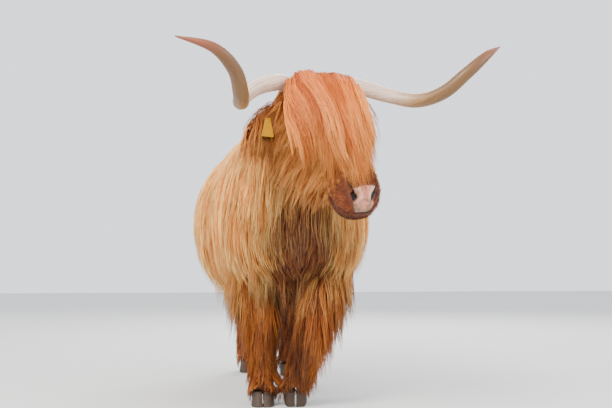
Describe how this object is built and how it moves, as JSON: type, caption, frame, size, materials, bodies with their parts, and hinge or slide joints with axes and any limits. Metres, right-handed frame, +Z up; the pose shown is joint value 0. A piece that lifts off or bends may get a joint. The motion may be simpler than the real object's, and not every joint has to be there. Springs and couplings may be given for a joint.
{
  "type": "highland cow",
  "caption": "Life-size still model of a long-coated highland cow in mid stride, its head turned, with wide horns and an ear tag.",
  "frame": {"origin": "centre of the footprint of the whole animal's box, on the floor under the feet", "axes": "+Z up, the cow faces -Y, its left side is +X"},
  "size_m": [1.3104, 2.4908, 1.4988],
  "materials": {
    "coat": "long straight hair, pale straw orange at the tips",
    "forelock_coat": "long wavy hair, reddish orange",
    "leg_coat": "shaggy hair, reddish brown",
    "horn": "satin horn, pale at the root, olive brown and then pinkish brown to the tip",
    "hoof": "dark matt horn",
    "eye": "wet, dark brown",
    "tag": "smooth, bare yellow plastic"
  },
  "bodies": {
    "root": {"torso": "coat", "neck": "coat", "tail": "coat", "head": "forelock_coat", "ear_right": "forelock_coat", "ear_left": "forelock_coat", "horn_right": "horn", "horn_left": "horn", "eye_right": "eye", "eye_left": "eye", "ear_tag_front": "tag", "ear_tag_back": "tag", "foreleg_right": "leg_coat", "foreleg_left": "leg_coat", "hindleg_right": "leg_coat", "hindleg_left": "leg_coat", "foreleg_right_right_claw": "hoof", "foreleg_right_left_claw": "hoof", "foreleg_left_right_claw": "hoof", "foreleg_left_left_claw": "hoof", "hindleg_right_right_claw": "hoof", "hindleg_right_left_claw": "hoof", "hindleg_left_right_claw": "hoof", "hindleg_left_left_claw": "hoof", "foreleg_right_right_dewclaw": "hoof", "foreleg_right_left_dewclaw": "hoof", "foreleg_left_right_dewclaw": "hoof", "foreleg_left_left_dewclaw": "hoof", "hindleg_right_right_dewclaw": "hoof", "hindleg_right_left_dewclaw": "hoof", "hindleg_left_right_dewclaw": "hoof", "hindleg_left_left_dewclaw": "hoof"}
  },
  "joints": []
}
